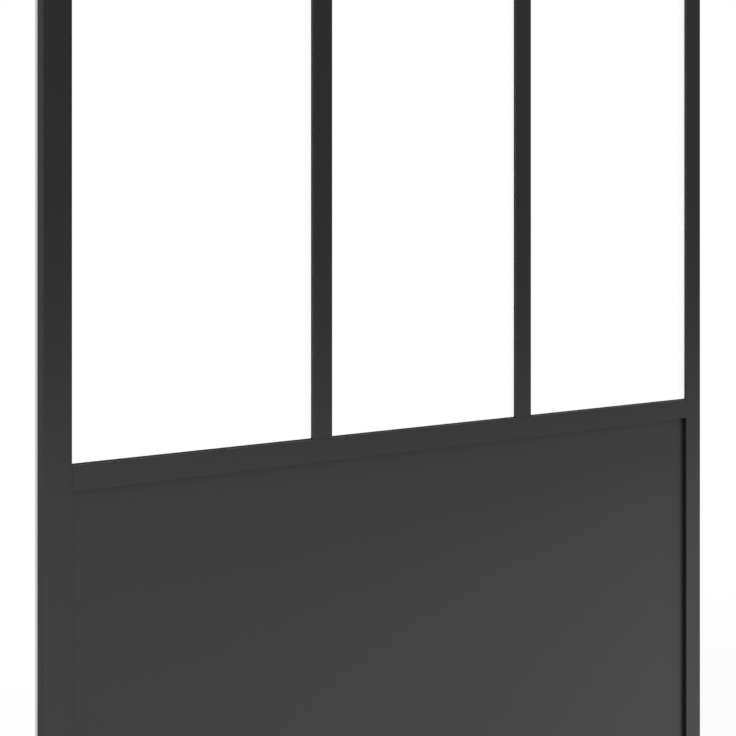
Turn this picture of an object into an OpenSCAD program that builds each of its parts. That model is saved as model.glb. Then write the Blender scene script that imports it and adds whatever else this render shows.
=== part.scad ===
// Framed shower screen, fixed to a wall at one end: three tall clear panes over a solid lower panel.
// X runs from the wall face to the free edge, Y from the front to the back and Z up from the floor.
// The origin is on the wall face of the wall channel, in the middle of its depth, at floor level.

/* [Overall] */
// Width from the wall face to the free edge
screen_w = 990; // [850:1:1150]
// Height from the floor to the top of the frame
screen_h = 2000; // [1700:1:2200]
// Depth of the frame from its front face to its back face
frame_depth = 21; // [18:0.5:28]

/* [Frame profiles] */
// Width of a post's front face
post_face = 30; // [26:0.5:36]
// Height of a rail's front face
rail_face = 26; // [24:0.5:34]
// Width of a glazing bar's front face
bar_face = 26.4; // [22:0.1:30]
// Thickness of the front flanges that lap over the glass
front_flange = 2.5; // [2:0.1:3]
// Width of the hollow chamber along the outer side of a post or rail
chamber_w = 10; // [9:0.5:12]
// Wall thickness of the hollow chambers
wall_t = 1.6; // [1.2:0.1:2]
// Radius of the long outer edges
edge_r = 0.4; // [0.2:0.1:1.2]
// Gap at the butt joints between rails, posts and bars
joint_gap = 0.05; // [0.05:0.05:0.3]

/* [Glazing beads] */
// How far a bead laps over the edge of the glass
bead_lap = 8; // [6:0.5:10]
// Upright height of a bead's edge on the glass side
bead_edge = 1.5; // [1:0.1:2.5]
// Width of a bead's flat back edge beside the chamber
bead_back = 2; // [1:0.1:4]
// How far a bead stays below the back face of the frame
bead_drop = 2; // [1:0.1:4]
// Height and width of the tongue that holds a bead in the chamber's groove
tongue = [0.8, 1.4]; // [0.5:0.1:1.5]
// Clearance round a bead's tongue and at its mitres
bead_gap = 0.15; // [0.1:0.05:0.3]

/* [Wall channel] */
// Thickness of the wall channel's web
channel_web = 3; // [2.5:0.1:4]
// Distance from the wall to the ends of the channel's legs inside the wall post
channel_lap = 7; // [5:0.5:8]
// Running gap between the channel's legs and the post
channel_gap = 0.3; // [0.2:0.05:0.5]
// Thickness of the pale wall seal
seal_w = 2.4; // [1.5:0.1:3]
// Width of the pale wall seal, which runs along the back of the wall side
seal_d = 6; // [4:0.5:7]
// Radius of the wall fixing holes
fixing_r = 2.75; // [2:0.05:3]
// Distance from each end of the screen to the nearest wall fixing hole
fixing_end = 100; // [60:5:150]
// Distance from each end of the screen to the next wall fixing hole
fixing_inner = 440; // [300:5:480]

/* [Layout] */
// Distance from the wall to the middle of the first glazing bar
bar_1_x = 331.8; // [290:0.1:360]
// Distance from the wall to the middle of the second glazing bar
bar_2_x = 642.8; // [600:0.1:680]
// Height of the top edge of the mid rail
mid_rail_top = 780; // [600:1:900]

/* [Glass and panel] */
// Thickness of the glass
glass_t = 6; // [5:0.5:8]
// Thickness of the gasket strips on each face of the glass
gasket_t = 1; // [0.5:0.1:1]
// How far a gasket shows past the metal
gasket_show = 0.5; // [0.2:0.1:1.5]
// Clearance between a pane's edge and the metal beside it
edge_gap = 1.5; // [1:0.1:2]
// Height of the setting blocks under the panes and the panel
block_h = 3; // [2:0.5:4]
// Length of a setting block
block_l = 60; // [30:5:90]
// Thickness of the lower panel
panel_t = 5.5; // [4:0.5:7]

/* [Glazing bars] */
// Thickness of a glazing bar's web between two panes
web_t = 4; // [3:0.5:5]
// Width of the cap strip on the back of a glazing bar, at the glass
cap_w = 14; // [12:0.5:18]
// Width of the cap strip's back face
cap_back = 6.5; // [5:0.5:10]
// Depth of a cap strip from the gasket to its back face
cap_t = 5.5; // [3:0.5:7]
// Depth of the groove in a cap strip that takes the web
cap_groove = 3; // [1:0.1:4]

/* [Ends and floor] */
// Thickness of the end caps on the posts
end_cap_t = 2; // [1.5:0.1:4]
// Length of an end cap's plug inside the post
plug_l = 12; // [6:1:20]
// Height of the floor seal under the bottom rail
floor_seal_h = 6; // [4:0.5:12]
// Thickness of the floor seal's base and lips
lip_t = 1.5; // [1:0.1:2.5]

/* [Hidden] */
$fn = 48;
eps = 0.01;
front_y = -frame_depth / 2;
back_y = frame_depth / 2;
groove_depth = glass_t + 2 * gasket_t;
groove_front = front_y + front_flange;
groove_back = groove_front + groove_depth;
glass_y = groove_front + gasket_t;
panel_y = groove_back - panel_t;
bead_y = back_y - bead_drop;
tongue_y = (groove_back + bead_y) / 2;

wall_sight = post_face;
free_sight = screen_w - post_face;
wall_groove = chamber_w;
free_groove = screen_w - chamber_w;

post_z0 = end_cap_t;
post_z1 = screen_h - end_cap_t;
bottom_z0 = floor_seal_h;
bottom_sight = bottom_z0 + rail_face;
bottom_groove = bottom_z0 + chamber_w;
top_sight = screen_h - rail_face;
top_groove = screen_h - chamber_w;
mid_z0 = mid_rail_top - rail_face;
mid_core = rail_face - 2 * bead_lap;
mid_core_z0 = mid_z0 + bead_lap;
mid_core_z1 = mid_core_z0 + mid_core;

bars = [bar_1_x, bar_2_x];
half_web = web_t / 2;
pane_left = [wall_groove + edge_gap, bar_1_x + half_web + edge_gap, bar_2_x + half_web + edge_gap];
pane_right = [bar_1_x - half_web - edge_gap, bar_2_x - half_web - edge_gap, free_groove - edge_gap];
front_left = [wall_sight, bar_1_x + bar_face / 2, bar_2_x + bar_face / 2];
front_right = [bar_1_x - bar_face / 2, bar_2_x - bar_face / 2, free_sight];
back_left = [wall_groove + bead_lap, bar_1_x + cap_w / 2, bar_2_x + cap_w / 2];
back_right = [bar_1_x - cap_w / 2, bar_2_x - cap_w / 2, free_groove - bead_lap];
pane_z0 = mid_core_z1 + block_h;
pane_z1 = top_groove - edge_gap;
panel_low = [wall_groove + edge_gap, bottom_groove + block_h];
panel_high = [free_groove - edge_gap, mid_core_z0 - edge_gap];

pane_low = [wall_groove, mid_core_z1];
pane_high = [free_groove, top_groove];
panel_bead_low = [wall_groove, bottom_groove];
panel_bead_high = [free_groove, mid_core_z0];

channel_half = frame_depth / 2 - wall_t - channel_gap;
channel_step = seal_w + wall_t;
seal_y = back_y - seal_d;
fixing_heights = [fixing_end, fixing_inner, screen_h - fixing_inner, screen_h - fixing_end];

across = [1, 0, 0];
up = [0, 0, 1];

frame_colour = "#3a3a3c";
rubber_colour = "#161617";
seal_colour = "#c6c7c8";
glass_colour = [0.85, 0.9, 0.9, 0.3];

// A flat rectangle between two corners
module patch(low, high) {
    translate(low) square(high - low);
}

// A flat rectangle between two corners, with its corners rounded
module soft_patch(low, high) {
    patch([low.x + edge_r, low.y], [high.x - edge_r, high.y]);
    patch([low.x, low.y + edge_r], [high.x, high.y - edge_r]);
    for (x = [low.x + edge_r, high.x - edge_r], y = [low.y + edge_r, high.y - edge_r])
        translate([x, y]) circle(edge_r);
}

// An upright extrusion of a plan drawn in X and Y
module upright(z0, z1) {
    translate([0, 0, z0]) linear_extrude(z1 - z0) children();
}

// A level extrusion of a section drawn in Y and Z
module level(x0, x1) {
    translate([x0, 0, 0]) rotate([90, 0, 90]) linear_extrude(x1 - x0) children();
}

// An outline drawn in X and Z, as thick as from y0 to y1
module slab(y0, y1) {
    translate([0, y1, 0]) rotate([90, 0, 0]) linear_extrude(y1 - y0) children();
}

// A flat ring in X and Z between an outer and an inner rectangle
module ring(low, high, in_low, in_high, y0, y1) {
    slab(y0, y1) difference() {
        patch(low, high);
        patch(in_low, in_high);
    }
}

// Outline of a frame edge: u runs from the outer side to the pane and v from the front to the back
module edge_outline(face) {
    soft_patch([0, 0], [chamber_w, frame_depth]);
    soft_patch([0, 0], [face, front_flange]);
    patch([edge_r, 0], [chamber_w, front_flange]);
}

// The groove in the chamber's inner wall that takes a bead's tongue
module tongue_groove() {
    reach = tongue.x + bead_gap;
    half = tongue.y / 2 + bead_gap;
    middle = tongue_y - front_y;
    patch([chamber_w - reach, middle - half], [chamber_w + eps, middle + half]);
}

// Section of a frame edge with its hollow chamber
module edge_section(face) {
    difference() {
        edge_outline(face);
        patch([wall_t, wall_t], [chamber_w - wall_t, frame_depth - wall_t]);
        tongue_groove();
    }
}

// The part of a rail's section that passes behind the posts' flanges
module behind_flange() {
    intersection() {
        children();
        patch([-eps, front_flange + joint_gap], [rail_face, frame_depth + eps]);
    }
}

// Turns a section from u and v to Y and Z, with its outer side down at z0
module section_up(z0) {
    translate([front_y, z0]) mirror([1, -1]) children();
}

// Turns a section from u and v to Y and Z, with its outer side up at z1
module section_down(z1) {
    translate([front_y, z1]) mirror([0, 1]) mirror([1, -1]) children();
}

// Section of a glazing bead in u and v, from the chamber's inner wall
module bead_section() {
    low = groove_back - front_y;
    high = bead_y - front_y;
    middle = tongue_y - front_y;
    translate([chamber_w, 0]) {
        polygon([
            [0, low], [bead_lap, low], [bead_lap, low + bead_edge],
            [bead_back, high], [0, high]
        ]);
        patch([-tongue.x, middle - tongue.y / 2], [eps, middle + tongue.y / 2]);
    }
}

// The channel steps back along its back edge to take the wall seal
module wall_channel() {
    color(frame_colour) difference() {
        upright(post_z0, post_z1) {
            difference() {
                patch([0, -channel_half], [channel_lap, channel_half]);
                patch([channel_web, wall_t - channel_half],
                      [channel_lap + eps, channel_half - wall_t]);
                patch([-eps, seal_y], [seal_w, channel_half + eps]);
            }
            patch([seal_w, seal_y], [channel_step, channel_half]);
        }
        for (z = fixing_heights)
            translate([-eps, 0, z]) rotate([0, 90, 0])
                cylinder(r = fixing_r, h = channel_web + 2 * eps);
    }
}

// A pale strip that closes the back edge of the screen against the wall
module wall_seal() {
    color(seal_colour) upright(post_z0, post_z1) patch([0, seal_y], [seal_w, back_y]);
}

// The wall post's chamber is open towards the wall, so that it slides over the channel
module wall_post() {
    color(frame_colour) upright(post_z0, post_z1) translate([0, front_y]) difference() {
        edge_section(post_face);
        patch([-eps, wall_t], [wall_t + eps, frame_depth - wall_t]);
        patch([-eps, frame_depth - seal_d], [seal_w, frame_depth + eps]);
    }
}

module free_post() {
    color(frame_colour) upright(post_z0, post_z1)
        translate([screen_w, front_y]) mirror([1, 0]) edge_section(post_face);
}

module top_rail() {
    color(frame_colour) {
        level(wall_sight + joint_gap, free_sight - joint_gap)
            section_down(screen_h) edge_section(rail_face);
        level(wall_groove + joint_gap, free_groove - joint_gap)
            section_down(screen_h) behind_flange() edge_section(rail_face);
    }
}

module bottom_rail() {
    color(frame_colour) {
        level(wall_sight + joint_gap, free_sight - joint_gap)
            section_up(bottom_z0) edge_section(rail_face);
        level(wall_groove + joint_gap, free_groove - joint_gap)
            section_up(bottom_z0) behind_flange() edge_section(rail_face);
    }
}

// Section of the mid rail in Y and Z: a hollow core with a front flange above and below it
module mid_section() {
    reach = tongue.x + bead_gap;
    half = tongue.y / 2 + bead_gap;
    difference() {
        union() {
            soft_patch([front_y, mid_z0], [groove_front, mid_rail_top]);
            soft_patch([front_y, mid_core_z0], [back_y, mid_core_z1]);
        }
        patch([front_y + wall_t, mid_core_z0 + wall_t], [back_y - wall_t, mid_core_z1 - wall_t]);
        patch([tongue_y - half, mid_core_z1 - reach], [tongue_y + half, mid_core_z1 + eps]);
        patch([tongue_y - half, mid_core_z0 - eps], [tongue_y + half, mid_core_z0 + reach]);
    }
}

module mid_rail() {
    color(frame_colour) {
        level(wall_sight + joint_gap, free_sight - joint_gap) mid_section();
        level(wall_groove + joint_gap, free_groove - joint_gap) intersection() {
            mid_section();
            patch([groove_front + joint_gap, mid_z0], [back_y + eps, mid_rail_top]);
        }
    }
}

// A T-shaped bar: a flat face in front of two panes and a web between them
module glazing_bar(i) {
    color(frame_colour) translate([bars[i], 0, 0]) {
        upright(mid_rail_top + joint_gap, top_sight - joint_gap)
            soft_patch([-bar_face / 2, front_y], [bar_face / 2, groove_front]);
        upright(mid_core_z1 + joint_gap, top_groove - joint_gap)
            patch([-half_web, groove_front + joint_gap], [half_web, groove_back - joint_gap]);
        upright(mid_rail_top + joint_gap, top_sight - joint_gap)
            patch([-half_web, groove_front - eps], [half_web, groove_back + cap_groove]);
    }
}

// A tapered strip that clips over a bar's web and holds the edges of two panes
module bar_cap(i) {
    color(frame_colour) upright(mid_rail_top + joint_gap, top_groove - bead_lap - joint_gap)
        translate([bars[i], groove_back]) difference() {
            polygon([
                [-cap_w / 2, 0], [cap_w / 2, 0], [cap_w / 2, bead_edge],
                [cap_back / 2, cap_t], [-cap_back / 2, cap_t], [-cap_w / 2, bead_edge]
            ]);
            patch([-half_web - bead_gap, -eps], [half_web + bead_gap, cap_groove + bead_gap]);
        }
}

module glass_pane(i) {
    color(glass_colour) slab(glass_y, glass_y + glass_t)
        patch([pane_left[i], pane_z0], [pane_right[i], pane_z1]);
}

module pane_gasket(i) {
    low = [pane_left[i], pane_z0];
    high = [pane_right[i], pane_z1];
    show = [gasket_show, gasket_show];
    color(rubber_colour) {
        ring(low, high, [front_left[i], mid_rail_top] + show, [front_right[i], top_sight] - show,
             groove_front, glass_y);
        ring(low, high, [back_left[i], mid_core_z1 + bead_lap] + show,
             [back_right[i], top_groove - bead_lap] - show, glass_y + glass_t, groove_back);
    }
}

// Two blocks at the quarter points between x0 and x1
module block_pair(x0, x1, z, y0, y1) {
    for (share = [0.25, 0.75]) {
        middle = x0 + share * (x1 - x0);
        slab(y0, y1) patch([middle - block_l / 2, z], [middle + block_l / 2, z + block_h]);
    }
}

module pane_blocks() {
    color(rubber_colour) for (i = [0 : 2])
        block_pair(pane_left[i], pane_right[i], mid_core_z1, groove_front, groove_back);
}

module panel_blocks() {
    color(rubber_colour) block_pair(wall_groove, free_groove, bottom_groove, panel_y, groove_back);
}

module lower_panel() {
    color(frame_colour) slab(panel_y, groove_back) patch(panel_low, panel_high);
}

module panel_gasket() {
    show = [gasket_show, gasket_show];
    color(rubber_colour) ring(panel_low, panel_high,
        [wall_sight, bottom_sight] + show, [free_sight, mid_z0] - show, groove_front, panel_y);
}

// Outline of a mitred bead: it runs from a0 to a1 along a chamber's inner wall at base
function mitre_outline(a0, a1, base) = [
    [a0 + bead_gap, base - tongue.x], [a1 - bead_gap, base - tongue.x], [a1 - bead_gap, base],
    [a1 - bead_gap - bead_lap, base + bead_lap], [a0 + bead_gap + bead_lap, base + bead_lap],
    [a0 + bead_gap, base]
];

// A level bead on a chamber whose inner wall is at low.y
module level_bead(low, high) {
    color(frame_colour) intersection() {
        level(low.x, high.x) section_up(low.y - chamber_w) bead_section();
        slab(groove_back - eps, back_y) polygon(mitre_outline(low.x, high.x, low.y));
    }
}

// An upright bead beside a chamber whose inner wall is at low.x
module upright_bead(low, high) {
    color(frame_colour) intersection() {
        upright(low.y, high.y) translate([low.x - chamber_w, front_y]) bead_section();
        slab(groove_back - eps, back_y)
            polygon([for (point = mitre_outline(low.y, high.y, low.x)) [point.y, point.x]]);
    }
}

// Turns a piece over about the middle of a span along one axis
module flipped(axis, low, high) {
    translate(axis * (low + high)) mirror(axis) children();
}

module pane_bead_wall() {
    upright_bead(pane_low, pane_high);
}

module pane_bead_free() {
    flipped(across, pane_low.x, pane_high.x) pane_bead_wall();
}

module pane_bead_bottom() {
    level_bead(pane_low, pane_high);
}

module pane_bead_top() {
    flipped(up, pane_low.y, pane_high.y) pane_bead_bottom();
}

module panel_bead_wall() {
    upright_bead(panel_bead_low, panel_bead_high);
}

module panel_bead_free() {
    flipped(across, panel_bead_low.x, panel_bead_high.x) panel_bead_wall();
}

module panel_bead_bottom() {
    level_bead(panel_bead_low, panel_bead_high);
}

module panel_bead_top() {
    flipped(up, panel_bead_low.y, panel_bead_high.y) panel_bead_bottom();
}

// A cap's plate follows the outline of the free post, which it closes
module free_plate(z) {
    upright(z, z + end_cap_t) translate([screen_w, front_y]) mirror([1, 0]) edge_outline(post_face);
}

// A plate over the wall post and the channel inside it
module wall_plate(z) {
    upright(z, z + end_cap_t) translate([0, front_y]) edge_outline(post_face);
}

module free_plug(z0, z1) {
    inset = wall_t + bead_gap;
    upright(z0, z1) patch([free_groove + inset, front_y + inset], [screen_w - inset, back_y - inset]);
}

module wall_plug(z0, z1) {
    half = channel_half - wall_t - bead_gap;
    inner = max(channel_web, channel_step) + bead_gap;
    upright(z0, z1) patch([inner, -half], [wall_groove - wall_t - bead_gap, half]);
}

module wall_post_cap() {
    color(frame_colour) {
        wall_plate(post_z1);
        wall_plug(post_z1 - plug_l, post_z1 + eps);
    }
}

module wall_post_foot() {
    color(frame_colour) {
        wall_plate(0);
        wall_plug(post_z0 - eps, post_z0 + plug_l);
    }
}

module free_post_cap() {
    color(frame_colour) {
        free_plate(post_z1);
        free_plug(post_z1 - plug_l, post_z1 + eps);
    }
}

module free_post_foot() {
    color(frame_colour) {
        free_plate(0);
        free_plug(post_z0 - eps, post_z0 + plug_l);
    }
}

module floor_seal() {
    y0 = groove_front + joint_gap;
    color(rubber_colour) level(wall_groove + joint_gap, free_groove - joint_gap) {
        patch([y0, floor_seal_h - lip_t], [back_y, floor_seal_h]);
        patch([y0, 0], [y0 + lip_t, floor_seal_h]);
        patch([back_y - lip_t, 0], [back_y, floor_seal_h]);
    }
}

wall_channel();
wall_seal();
wall_post();
free_post();
top_rail();
mid_rail();
bottom_rail();
glazing_bar(0);  // glazing_bar_1
glazing_bar(1);  // glazing_bar_2
bar_cap(0);  // bar_cap_1
bar_cap(1);  // bar_cap_2
glass_pane(0);  // glass_pane_1
glass_pane(1);  // glass_pane_2
glass_pane(2);  // glass_pane_3
pane_gasket(0);  // pane_gasket_1
pane_gasket(1);  // pane_gasket_2
pane_gasket(2);  // pane_gasket_3
pane_blocks();
pane_bead_wall();
pane_bead_free();
pane_bead_top();
pane_bead_bottom();
lower_panel();
panel_gasket();
panel_blocks();
panel_bead_wall();
panel_bead_free();
panel_bead_top();
panel_bead_bottom();
wall_post_cap();
free_post_cap();
wall_post_foot();
free_post_foot();
floor_seal();
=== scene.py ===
"""Dresses a framed shower screen: dark satin metal, clear glass, black gaskets and small fixings.

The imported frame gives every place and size. X runs from the wall to the free edge, Y from the front
to the back and Z up from the floor, all in metres.
"""

from __future__ import annotations

import logging
import math
from dataclasses import dataclass, field
from enum import Enum

import bmesh
import bpy
from mathutils import Matrix, Vector

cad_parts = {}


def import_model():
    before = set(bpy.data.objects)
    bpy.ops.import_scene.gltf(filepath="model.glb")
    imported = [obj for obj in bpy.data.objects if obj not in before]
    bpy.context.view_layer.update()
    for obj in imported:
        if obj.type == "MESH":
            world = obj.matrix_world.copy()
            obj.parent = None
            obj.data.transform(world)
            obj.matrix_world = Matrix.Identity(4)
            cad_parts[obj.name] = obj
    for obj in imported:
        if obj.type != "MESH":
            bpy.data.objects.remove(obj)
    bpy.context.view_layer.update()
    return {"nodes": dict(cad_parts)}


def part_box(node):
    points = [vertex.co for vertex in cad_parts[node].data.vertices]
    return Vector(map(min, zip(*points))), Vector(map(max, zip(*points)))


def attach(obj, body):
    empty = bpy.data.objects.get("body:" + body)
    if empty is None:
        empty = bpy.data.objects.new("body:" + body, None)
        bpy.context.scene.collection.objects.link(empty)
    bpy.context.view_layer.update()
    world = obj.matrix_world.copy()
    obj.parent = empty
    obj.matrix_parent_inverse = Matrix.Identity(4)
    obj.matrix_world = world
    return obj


LOG = logging.getLogger("shower_screen")
ROOT = "root"
PICTURE_SIDE = 736
SENSOR_WIDTH = 36.0
NOISE_MIDDLE = 0.5
FACES_UP = 0.9

Color = tuple[float, float, float]


class Facing(Enum):
    """The side of the screen that a small fixing sits on."""

    BACK = "back"
    FREE_EDGE = "free edge"


class Recess(Enum):
    """The drive cut into a screw's head, by its number of sides."""

    HEX = 6
    PLAIN = 0


def add_node(tree: bpy.types.NodeTree, kind: str, **settings: object) -> bpy.types.Node:
    """Adds a node and sets its properties.

    Args:
        tree: The tree that takes the node.
        kind: The node's type name.
        settings: Properties to set on the node, by name.

    Returns:
        The new node.
    """
    node = tree.nodes.new(kind)
    for name, value in settings.items():
        setattr(node, name, value)
    return node


def set_inputs(node: bpy.types.Node, **values: object) -> None:
    """Sets a node's input sockets, with underscores standing for spaces in their names.

    Args:
        node: The node whose sockets are set.
        values: The values by socket name.
    """
    for name, value in values.items():
        node.inputs[name.replace("_", " ")].default_value = value


def rgba(color: Color) -> tuple[float, float, float, float]:
    """Returns the colour with full alpha."""
    return (*color, 1.0)


def new_group(
    name: str, inputs: dict[str, tuple[str, float | None]], outputs: dict[str, str]
) -> tuple[bpy.types.NodeTree, bpy.types.Node, bpy.types.Node]:
    """Starts a shader node group with named sockets.

    Args:
        name: The group's name.
        inputs: Socket type and default value by input name.
        outputs: Socket type by output name.

    Returns:
        The tree, its input node and its output node.
    """
    tree = bpy.data.node_groups.new(name, "ShaderNodeTree")
    for label, (kind, value) in inputs.items():
        socket = tree.interface.new_socket(name=label, in_out="INPUT", socket_type=kind)
        if value is not None:
            socket.default_value = value
    for label, kind in outputs.items():
        tree.interface.new_socket(name=label, in_out="OUTPUT", socket_type=kind)
    return tree, tree.nodes.new("NodeGroupInput"), tree.nodes.new("NodeGroupOutput")


@dataclass
class SurfaceEffects:
    """The node groups that several finishes share."""

    coat_grain: bpy.types.NodeTree = field(init=False)
    soft_mottle: bpy.types.NodeTree = field(init=False)
    settled_dust: bpy.types.NodeTree = field(init=False)

    def __post_init__(self) -> None:
        """Builds the groups once."""
        self.coat_grain = self.build_coat_grain()
        self.soft_mottle = self.build_soft_mottle()
        self.settled_dust = self.build_settled_dust()

    @staticmethod
    def build_coat_grain() -> bpy.types.NodeTree:
        """Builds the fine pebbled height of a powder coat.

        Returns:
            A group from Vector and Scale to Height.
        """
        tree, source, sink = new_group(
            "coat_grain",
            {"Vector": ("NodeSocketVector", None), "Scale": ("NodeSocketFloat", 900.0)},
            {"Height": "NodeSocketFloat"},
        )
        pebbles = add_node(tree, "ShaderNodeTexVoronoi", feature="SMOOTH_F1")
        set_inputs(pebbles, Smoothness=0.8)
        ripple = add_node(tree, "ShaderNodeTexNoise")
        set_inputs(ripple, Detail=3.0, Roughness=0.55)
        blend = add_node(tree, "ShaderNodeMix", data_type="FLOAT")
        set_inputs(blend, Factor=0.4)
        for texture in (pebbles, ripple):
            tree.links.new(source.outputs["Vector"], texture.inputs["Vector"])
            tree.links.new(source.outputs["Scale"], texture.inputs["Scale"])
        tree.links.new(pebbles.outputs["Distance"], blend.inputs["A"])
        tree.links.new(ripple.outputs["Fac"], blend.inputs["B"])
        tree.links.new(blend.outputs["Result"], sink.inputs["Height"])
        return tree

    @staticmethod
    def build_soft_mottle() -> bpy.types.NodeTree:
        """Builds a slow, faint variation over a surface.

        Returns:
            A group from Vector, Scale and Amount to a Value round 1.
        """
        tree, source, sink = new_group(
            "soft_mottle",
            {
                "Vector": ("NodeSocketVector", None),
                "Scale": ("NodeSocketFloat", 6.0),
                "Amount": ("NodeSocketFloat", 0.1),
            },
            {"Value": "NodeSocketFloat"},
        )
        noise = add_node(tree, "ShaderNodeTexNoise")
        set_inputs(noise, Detail=4.0, Roughness=0.5)
        centred = add_node(tree, "ShaderNodeMath", operation="SUBTRACT")
        centred.inputs[1].default_value = NOISE_MIDDLE
        scaled = add_node(tree, "ShaderNodeMath", operation="MULTIPLY_ADD")
        scaled.inputs[2].default_value = 1.0
        tree.links.new(source.outputs["Vector"], noise.inputs["Vector"])
        tree.links.new(source.outputs["Scale"], noise.inputs["Scale"])
        tree.links.new(noise.outputs["Fac"], centred.inputs[0])
        tree.links.new(centred.outputs["Value"], scaled.inputs[0])
        tree.links.new(source.outputs["Amount"], scaled.inputs[1])
        tree.links.new(scaled.outputs["Value"], sink.inputs["Value"])
        return tree

    @staticmethod
    def build_settled_dust() -> bpy.types.NodeTree:
        """Builds a mask of dust on surfaces that face up.

        Returns:
            A group from Vector, Up and Amount to a Mask between 0 and 1.
        """
        tree, source, sink = new_group(
            "settled_dust",
            {
                "Vector": ("NodeSocketVector", None),
                "Up": ("NodeSocketFloat", 0.0),
                "Amount": ("NodeSocketFloat", 0.3),
            },
            {"Mask": "NodeSocketFloat"},
        )
        noise = add_node(tree, "ShaderNodeTexNoise")
        set_inputs(noise, Scale=140.0, Detail=5.0, Roughness=0.65)
        facing = add_node(tree, "ShaderNodeMapRange", interpolation_type="SMOOTHSTEP")
        set_inputs(facing, From_Min=0.4, From_Max=1.0)
        speckle = add_node(tree, "ShaderNodeMath", operation="MULTIPLY")
        mask = add_node(tree, "ShaderNodeMath", operation="MULTIPLY", use_clamp=True)
        tree.links.new(source.outputs["Vector"], noise.inputs["Vector"])
        tree.links.new(source.outputs["Up"], facing.inputs["Value"])
        tree.links.new(noise.outputs["Fac"], speckle.inputs[0])
        tree.links.new(facing.outputs["Result"], speckle.inputs[1])
        tree.links.new(speckle.outputs["Value"], mask.inputs[0])
        tree.links.new(source.outputs["Amount"], mask.inputs[1])
        tree.links.new(mask.outputs["Value"], sink.inputs["Mask"])
        return tree


@dataclass(frozen=True)
class Finish:
    """An opaque finish with a fine grain, a faint mottle and a little dust on top faces.

    The colours are linear, the bump is in metres and the grain counts cells per metre.
    """

    name: str
    color: Color
    roughness: float
    specular: float = 0.5
    metallic: float = 0.0
    grain: float = 900.0
    bump: float = 0.00002
    mottle: float = 0.1
    dust: float = 0.2
    dust_color: Color = (0.35, 0.34, 0.33)

    def material(self, effects: SurfaceEffects) -> bpy.types.Material:
        """Builds the finish.

        Args:
            effects: The shared node groups.

        Returns:
            The new material.
        """
        made = bpy.data.materials.new(self.name)
        made.use_nodes = True
        tree = made.node_tree
        shader = tree.nodes["Principled BSDF"]
        set_inputs(shader, Specular_IOR_Level=self.specular, Metallic=self.metallic)
        place = add_node(tree, "ShaderNodeTexCoord")
        geometry = add_node(tree, "ShaderNodeNewGeometry")
        split = add_node(tree, "ShaderNodeSeparateXYZ")
        grain = self.group_node(tree, effects.coat_grain, Scale=self.grain)
        mottle = self.group_node(tree, effects.soft_mottle, Amount=self.mottle)
        dust = self.group_node(tree, effects.settled_dust, Amount=self.dust)
        for user in (grain, mottle, dust):
            tree.links.new(place.outputs["Object"], user.inputs["Vector"])
        tree.links.new(geometry.outputs["Normal"], split.inputs["Vector"])
        tree.links.new(split.outputs["Z"], dust.inputs["Up"])
        self.link_color(tree, shader, mottle, dust)
        self.link_roughness(tree, shader, mottle)
        bump = add_node(tree, "ShaderNodeBump")
        set_inputs(bump, Strength=1.0, Distance=self.bump)
        tree.links.new(grain.outputs["Height"], bump.inputs["Height"])
        tree.links.new(bump.outputs["Normal"], shader.inputs["Normal"])
        return made

    @staticmethod
    def group_node(
        tree: bpy.types.NodeTree, group: bpy.types.NodeTree, **values: float
    ) -> bpy.types.Node:
        """Places a shared group in a material with its own values.

        Args:
            tree: The material's tree.
            group: The shared group.
            values: Socket values by name.

        Returns:
            The group node.
        """
        node = add_node(tree, "ShaderNodeGroup", node_tree=group)
        set_inputs(node, **values)
        return node

    def link_color(
        self,
        tree: bpy.types.NodeTree,
        shader: bpy.types.Node,
        mottle: bpy.types.Node,
        dust: bpy.types.Node,
    ) -> None:
        """Feeds Base Color with the mottled colour under the dust.

        Args:
            tree: The material's tree.
            shader: The surface shader.
            mottle: The node that varies the colour.
            dust: The node that masks the dust.
        """
        tinted = add_node(tree, "ShaderNodeVectorMath", operation="SCALE")
        tinted.inputs[0].default_value = self.color
        cover = add_node(tree, "ShaderNodeMix", data_type="RGBA")
        cover.inputs["B"].default_value = rgba(self.dust_color)
        tree.links.new(mottle.outputs["Value"], tinted.inputs["Scale"])
        tree.links.new(dust.outputs["Mask"], cover.inputs["Factor"])
        tree.links.new(tinted.outputs["Vector"], cover.inputs["A"])
        tree.links.new(cover.outputs["Result"], shader.inputs["Base Color"])

    def link_roughness(
        self, tree: bpy.types.NodeTree, shader: bpy.types.Node, mottle: bpy.types.Node
    ) -> None:
        """Feeds Roughness with its base value, varied by the mottle.

        Args:
            tree: The material's tree.
            shader: The surface shader.
            mottle: The node that varies the roughness.
        """
        varied = add_node(tree, "ShaderNodeMath", operation="MULTIPLY", use_clamp=True)
        varied.inputs[1].default_value = self.roughness
        tree.links.new(mottle.outputs["Value"], varied.inputs[0])
        tree.links.new(varied.outputs["Value"], shader.inputs["Roughness"])


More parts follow.
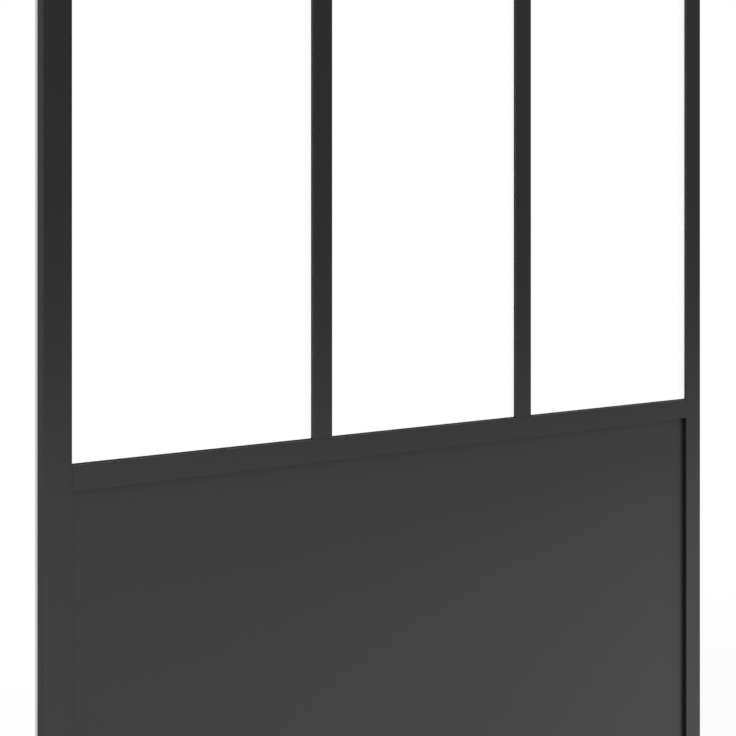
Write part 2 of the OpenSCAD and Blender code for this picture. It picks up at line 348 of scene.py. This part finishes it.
@dataclass(frozen=True)
class ClearGlass:
    """Clear toughened glass, a solid sheet that lets shadow rays and soft light through."""

    name: str = "clear_glass"
    color: Color = (0.995, 1.0, 0.998)
    roughness: float = 0.0
    ior: float = 1.46
    passes: float = 0.93

    def material(self) -> bpy.types.Material:
        """Builds the glass.

        Returns:
            The new material.
        """
        made = bpy.data.materials.new(self.name)
        made.use_nodes = True
        tree = made.node_tree
        shader = tree.nodes["Principled BSDF"]
        set_inputs(shader, Base_Color=rgba(self.color), Roughness=self.roughness, IOR=self.ior)
        set_inputs(shader, Transmission_Weight=1.0)
        path = add_node(tree, "ShaderNodeLightPath")
        soft = add_node(tree, "ShaderNodeMath", operation="MAXIMUM")
        alpha = add_node(tree, "ShaderNodeMath", operation="MULTIPLY_ADD")
        alpha.inputs[1].default_value = -self.passes
        alpha.inputs[2].default_value = 1.0
        tree.links.new(path.outputs["Is Shadow Ray"], soft.inputs[0])
        tree.links.new(path.outputs["Is Diffuse Ray"], soft.inputs[1])
        tree.links.new(soft.outputs["Value"], alpha.inputs[0])
        tree.links.new(alpha.outputs["Value"], shader.inputs["Alpha"])
        return made


POWDER_COAT = Finish("powder_coat", (0.0145, 0.0145, 0.0147), 0.34, specular=0.55)
PANEL_COAT = Finish("panel_coat", (0.0153, 0.0153, 0.0155), 0.36, specular=0.55, grain=700.0)
CAP_PLASTIC = Finish("cap_plastic", (0.014, 0.014, 0.015), 0.5, grain=1500.0, bump=0.00001)
BLACK_RUBBER = Finish("black_rubber", (0.006, 0.006, 0.006), 0.7, specular=0.3, grain=1800.0)
PALE_RUBBER = Finish("pale_rubber", (0.78, 0.78, 0.77), 0.65, specular=0.3, grain=1600.0, dust=0.0)
BLOCK_PLASTIC = Finish("block_plastic", (0.01, 0.01, 0.01), 0.6, specular=0.3, grain=1200.0)
SCREW_STEEL = Finish(
    "screw_steel", (0.09, 0.09, 0.092), 0.32, metallic=1.0, grain=2500.0, bump=0.000005
)


@dataclass
class FrameDressing:
    """Gives every node of the frame its finish."""

    nodes: dict[str, bpy.types.Object]
    effects: SurfaceEffects

    def dress(self) -> None:
        """Assigns a finish to each node by the start of its name, and the metal coat to the rest."""
        metal = POWDER_COAT.material(self.effects)
        rubber = BLACK_RUBBER.material(self.effects)
        cap = CAP_PLASTIC.material(self.effects)
        finishes = {
            "wall_seal": PALE_RUBBER.material(self.effects),
            "glass_pane": ClearGlass().material(),
            "pane_gasket": rubber,
            "panel_gasket": rubber,
            "floor_seal": rubber,
            "pane_blocks": BLOCK_PLASTIC.material(self.effects),
            "panel_blocks": BLOCK_PLASTIC.material(self.effects),
            "lower_panel": PANEL_COAT.material(self.effects),
            "wall_post_cap": cap,
            "free_post_cap": cap,
            "wall_post_foot": cap,
            "free_post_foot": cap,
        }
        for name, node in self.nodes.items():
            starts = [start for start in finishes if name.startswith(start)]
            material = finishes[max(starts, key=len)] if starts else metal
            node.data.materials.clear()
            node.data.materials.append(material)
            LOG.info("%s has %s", name, material.name)


def finished_object(
    mesh: bmesh.types.BMesh, name: str, material: bpy.types.Material
) -> bpy.types.Object:
    """Makes an object from a bmesh, with its place in its mesh.

    Args:
        mesh: The finished shape, which is freed.
        name: The piece's name.
        material: The piece's finish.

    Returns:
        The new object, which rides on the screen.
    """
    bmesh.ops.recalc_face_normals(mesh, faces=mesh.faces)
    data = bpy.data.meshes.new(name)
    mesh.to_mesh(data)
    mesh.free()
    data.materials.append(material)
    piece = bpy.data.objects.new(name, data)
    bpy.context.scene.collection.objects.link(piece)
    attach(piece, ROOT)
    LOG.info("%s has %d faces", name, len(data.polygons))
    return piece


@dataclass
class RoundHead:
    """A round screw head or cover cap, built about +Z and then turned to its side."""

    radius: float
    height: float
    rim: float
    recess: Recess = Recess.PLAIN
    recess_radius: float = 0.0
    recess_depth: float = 0.0
    draft: float = 0.00003
    sides: int = 48
    rim_steps: int = 5

    def add_to(self, target: bmesh.types.BMesh, place: Matrix) -> None:
        """Adds one head to a mesh.

        Args:
            target: The mesh that collects the heads.
            place: Turns and moves the head from the origin to its seat.
        """
        head = bmesh.new()
        bmesh.ops.create_circle(head, cap_ends=True, radius=self.radius, segments=self.sides)
        seat = head.faces[:]
        grown = bmesh.ops.extrude_face_region(head, geom=seat)
        raised = [v for v in grown["geom"] if isinstance(v, bmesh.types.BMVert)]
        bmesh.ops.translate(head, verts=raised, vec=(0.0, 0.0, self.height))
        edges = [e for e in head.edges if all(v.co.z > self.height / 2 for v in e.verts)]
        bmesh.ops.bevel(
            head, geom=edges, offset=self.rim, offset_type="OFFSET", segments=self.rim_steps,
            profile=0.5, affect="EDGES", material=-1,
        )
        if self.recess is not Recess.PLAIN:
            self.cut_recess(head)
        bmesh.ops.transform(head, matrix=place, verts=head.verts)
        shape = bpy.data.meshes.new("head")
        head.to_mesh(shape)
        head.free()
        target.from_mesh(shape)
        bpy.data.meshes.remove(shape)

    def cut_recess(self, head: bmesh.types.BMesh) -> None:
        """Sinks the drive into the top face.

        Args:
            head: The head's mesh, with its top face at its full height.
        """
        top = max((f for f in head.faces if f.normal.z > FACES_UP), key=lambda f: f.calc_area())
        border = self.radius - self.rim - self.recess_radius
        bmesh.ops.inset_individual(head, faces=[top], thickness=border)
        step = math.tau / self.recess.value
        for vert in top.verts:
            turn = math.atan2(vert.co.y, vert.co.x) % step - step / 2
            reach = math.cos(step / 2) / math.cos(turn)
            vert.co = Vector((vert.co.x * reach, vert.co.y * reach, vert.co.z))
        bmesh.ops.inset_individual(head, faces=[top], thickness=self.draft, depth=-self.recess_depth)


@dataclass
class SmallFixings:
    """The screws on the back of the wall post and the cover caps on the free post's outer side."""

    effects: SurfaceEffects
    post_screw: RoundHead = field(
        default_factory=lambda: RoundHead(
            radius=0.0026, height=0.0006, rim=0.0003,
            recess=Recess.HEX, recess_radius=0.0013, recess_depth=0.0005,
        )
    )
    cover: RoundHead = field(
        default_factory=lambda: RoundHead(radius=0.0048, height=0.0012, rim=0.0006)
    )
    screw_heights: tuple[float, ...] = (0.25, 1.0, 1.75)
    screw_inset: float = 0.0054
    covered_rails: tuple[str, ...] = ("top_rail", "mid_rail", "bottom_rail")

    def seat(self, facing: Facing, point: Vector) -> Matrix:
        """Returns the transform that seats a head on one side of the screen.

        Args:
            facing: The side that the head stands on.
            point: The middle of the head's seat.

        Returns:
            The transform.
        """
        turn = {
            Facing.BACK: Matrix.Rotation(-math.pi / 2, 4, "X"),
            Facing.FREE_EDGE: Matrix.Rotation(math.pi / 2, 4, "Y"),
        }[facing]
        return Matrix.Translation(point) @ turn

    def build(self) -> None:
        """Builds the screws and the cover caps as two pieces."""
        self.build_post_screws()
        self.build_rail_covers()

    def build_post_screws(self) -> None:
        """Builds the screws that hold the wall post to its channel."""
        low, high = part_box("wall_post")
        mesh = bmesh.new()
        for height in self.screw_heights:
            point = Vector((low.x + self.screw_inset, high.y, height))
            self.post_screw.add_to(mesh, self.seat(Facing.BACK, point))
        finished_object(mesh, "post_screws", SCREW_STEEL.material(self.effects))

    def build_rail_covers(self) -> None:
        """Builds the caps over the screws that hold the rails to the free post."""
        low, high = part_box("free_post")
        middle = (low.y + high.y) / 2
        mesh = bmesh.new()
        for rail in self.covered_rails:
            rail_low, rail_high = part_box(rail)
            point = Vector((high.x, middle, (rail_low.z + rail_high.z) / 2))
            self.cover.add_to(mesh, self.seat(Facing.FREE_EDGE, point))
        finished_object(mesh, "rail_covers", CAP_PLASTIC.material(self.effects))


@dataclass(frozen=True)
class ReflectionCard:
    """A grey card that only soft reflections show, such as those in the powder coat."""

    name: str
    middle: Vector
    facing: Vector
    width: float
    height: float
    level: float
    roll_deg: float = 0.0

    def build(self) -> None:
        """Builds the card as an upright rectangle that faces the screen."""
        mesh = bmesh.new()
        bmesh.ops.create_grid(mesh, x_segments=1, y_segments=1, size=0.5)
        bmesh.ops.scale(mesh, vec=(self.width, self.height, 1.0), verts=mesh.verts)
        roll = Matrix.Rotation(math.radians(self.roll_deg), 4, "Z")
        turn = self.facing.to_track_quat("Z", "Y").to_matrix().to_4x4() @ roll
        bmesh.ops.transform(mesh, matrix=Matrix.Translation(self.middle) @ turn, verts=mesh.verts)
        data = bpy.data.meshes.new(self.name)
        mesh.to_mesh(data)
        mesh.free()
        data.materials.append(self.material())
        card = bpy.data.objects.new(self.name, data)
        bpy.context.scene.collection.objects.link(card)
        card.visible_camera = False
        card.visible_diffuse = False
        card.visible_transmission = False
        card.visible_shadow = False

    def material(self) -> bpy.types.Material:
        """Builds the card's even grey, which clear glass mirrors as white.

        Returns:
            The new material.
        """
        made = bpy.data.materials.new(self.name)
        made.use_nodes = True
        tree = made.node_tree
        tree.nodes.remove(tree.nodes["Principled BSDF"])
        path = add_node(tree, "ShaderNodeLightPath")
        level = add_node(tree, "ShaderNodeMix", data_type="FLOAT")
        set_inputs(level, A=self.level, B=1.0)
        tree.links.new(path.outputs["Is Singular Ray"], level.inputs["Factor"])
        light = add_node(tree, "ShaderNodeEmission")
        tree.links.new(level.outputs["Result"], light.inputs["Strength"])
        tree.links.new(light.outputs["Emission"], tree.nodes["Material Output"].inputs["Surface"])
        return made


@dataclass(frozen=True)
class SoftLamp:
    """A square area lamp that lights matt surfaces and shows in no reflection."""

    name: str
    place: Vector
    target: Vector
    side: float
    power: float

    def build(self) -> None:
        """Adds the lamp, turned to its target."""
        data = bpy.data.lights.new(self.name, "AREA")
        data.energy = self.power
        data.size = self.side
        lamp = bpy.data.objects.new(self.name, data)
        lamp.location = self.place
        lamp.rotation_euler = (self.target - self.place).to_track_quat("-Z", "Y").to_euler()
        lamp.visible_camera = False
        lamp.visible_glossy = False
        lamp.visible_transmission = False
        bpy.context.scene.collection.objects.link(lamp)


@dataclass
class Studio:
    """The pale floor, the soft lamps, the white surroundings and the camera."""

    floor_half: float = 14.0
    floor_color: Color = (0.86, 0.86, 0.86)
    near_middle: tuple[float, float, float] = (1.1, -0.8, 0.0)
    near_white: float = 0.65
    near_reach: float = 0.9
    far_reach: float = 2.7
    world_level: float = 0.55
    cards: tuple[ReflectionCard, ...] = (
        ReflectionCard(
            "front_card", middle=Vector((3.0, -2.9, 3.3)), facing=Vector((0.0, 1.0, 0.0)),
            width=26.0, height=6.2, level=0.2, roll_deg=8.5,
        ),
        ReflectionCard(
            "wall_card", middle=Vector((-0.3, 0.6, 1.25)), facing=Vector((0.45, -1.0, 0.0)),
            width=1.4, height=2.5, level=0.3,
        ),
    )
    lamps: tuple[SoftLamp, ...] = (
        SoftLamp(
            "front_lamp", place=Vector((0.0, -2.1, 3.2)), target=Vector((0.1, -1.9, 0.0)),
            side=2.6, power=66.0,
        ),
        SoftLamp(
            "back_lamp", place=Vector((2.0, 1.9, 3.2)), target=Vector((1.7, 1.6, 0.0)),
            side=2.6, power=46.0,
        ),
        SoftLamp(
            "side_lamp", place=Vector((-2.4, -2.0, 1.8)), target=Vector((0.3, 0.0, 0.8)),
            side=1.6, power=7.0,
        ),
    )
    turn_deg: float = 36.5
    distance: float = 1.1981
    foot_x: float = -0.491
    eye_height: float = 0.9964
    focal_px: float = 1281.6
    horizon_px: float = 247.7

    def build(self) -> None:
        """Builds the whole studio."""
        for fitting in (*self.cards, *self.lamps):
            fitting.build()
            LOG.info("%s stands in the studio", fitting.name)
        self.build_floor()
        self.build_world()
        self.build_camera()

    def build_floor(self) -> None:
        """Builds a level floor that stays white to the camera and keeps a soft shadow."""
        mesh = bmesh.new()
        bmesh.ops.create_grid(mesh, x_segments=1, y_segments=1, size=self.floor_half)
        data = bpy.data.meshes.new("floor")
        mesh.to_mesh(data)
        mesh.free()
        floor = bpy.data.objects.new("floor", data)
        bpy.context.scene.collection.objects.link(floor)
        data.materials.append(self.floor_material())

    def floor_material(self) -> bpy.types.Material:
        """Builds the floor's finish: matt and lit before the screen, and plain white farther off.

        Returns:
            The new material.
        """
        made = bpy.data.materials.new("pale_floor")
        made.use_nodes = True
        tree = made.node_tree
        tree.nodes.remove(tree.nodes["Principled BSDF"])
        sink = tree.nodes["Material Output"]
        matt = add_node(tree, "ShaderNodeBsdfDiffuse")
        set_inputs(matt, Color=rgba(self.floor_color))
        glow = add_node(tree, "ShaderNodeEmission")
        place = add_node(tree, "ShaderNodeTexCoord")
        reach = add_node(tree, "ShaderNodeVectorMath", operation="DISTANCE")
        reach.inputs[1].default_value = self.near_middle
        fade = add_node(tree, "ShaderNodeMapRange", interpolation_type="SMOOTHSTEP")
        set_inputs(fade, From_Min=self.near_reach, From_Max=self.far_reach, To_Min=self.near_white)
        share = add_node(tree, "ShaderNodeMath", operation="MULTIPLY")
        mixed = add_node(tree, "ShaderNodeMixShader")
        tree.links.new(place.outputs["Object"], reach.inputs[0])
        tree.links.new(reach.outputs["Value"], fade.inputs["Value"])
        tree.links.new(fade.outputs["Result"], share.inputs[0])
        tree.links.new(self.white_rays(tree), share.inputs[1])
        tree.links.new(share.outputs["Value"], mixed.inputs["Fac"])
        tree.links.new(matt.outputs["BSDF"], mixed.inputs[1])
        tree.links.new(glow.outputs["Emission"], mixed.inputs[2])
        tree.links.new(mixed.outputs["Shader"], sink.inputs["Surface"])
        return made

    @staticmethod
    def white_rays(tree: bpy.types.NodeTree) -> bpy.types.NodeSocket:
        """Picks the rays that see the surroundings as white: straight, mirrored or through glass.

        Args:
            tree: The tree to build in.

        Returns:
            A socket with 1 for those rays and 0 for the others.
        """
        path = add_node(tree, "ShaderNodeLightPath")
        seen = add_node(tree, "ShaderNodeMath", operation="MAXIMUM")
        mirrored = add_node(tree, "ShaderNodeMath", operation="MAXIMUM")
        tree.links.new(path.outputs["Is Camera Ray"], seen.inputs[0])
        tree.links.new(path.outputs["Is Transmission Ray"], seen.inputs[1])
        tree.links.new(seen.outputs["Value"], mirrored.inputs[0])
        tree.links.new(path.outputs["Is Glossy Ray"], mirrored.inputs[1])
        return mirrored.outputs["Value"]

    def build_world(self) -> None:
        """Builds the surroundings: white to look at, and a softer light on matt surfaces."""
        world = bpy.data.worlds.new("white_studio")
        bpy.context.scene.world = world
        world.use_nodes = True
        tree = world.node_tree
        back = tree.nodes["Background"]
        set_inputs(back, Color=rgba((1.0, 1.0, 1.0)))
        level = add_node(tree, "ShaderNodeMix", data_type="FLOAT")
        set_inputs(level, A=self.world_level, B=1.0)
        tree.links.new(self.white_rays(tree), level.inputs["Factor"])
        tree.links.new(level.outputs["Result"], back.inputs["Strength"])

    def build_camera(self) -> None:
        """Places a level camera whose shift puts the horizon where the picture has it."""
        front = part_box("wall_post")[0].y
        data = bpy.data.cameras.new("camera")
        data.sensor_fit = "HORIZONTAL"
        data.sensor_width = SENSOR_WIDTH
        data.lens = self.focal_px * SENSOR_WIDTH / PICTURE_SIDE
        data.shift_y = (self.horizon_px - PICTURE_SIDE / 2) / PICTURE_SIDE
        camera = bpy.data.objects.new("camera", data)
        camera.location = (self.foot_x, front - self.distance, self.eye_height)
        camera.rotation_euler = (math.pi / 2, 0.0, -math.radians(self.turn_deg))
        bpy.context.scene.collection.objects.link(camera)
        bpy.context.scene.camera = camera


def main() -> None:
    """Builds the dressed screen and its studio."""
    logging.basicConfig(level=logging.INFO, format="%(name)s: %(message)s")
    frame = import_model()
    bpy.context.scene.view_settings.view_transform = "Standard"
    effects = SurfaceEffects()
    FrameDressing(frame["nodes"], effects).dress()
    SmallFixings(effects).build()
    Studio().build()


if __name__ == "__main__":
    main()
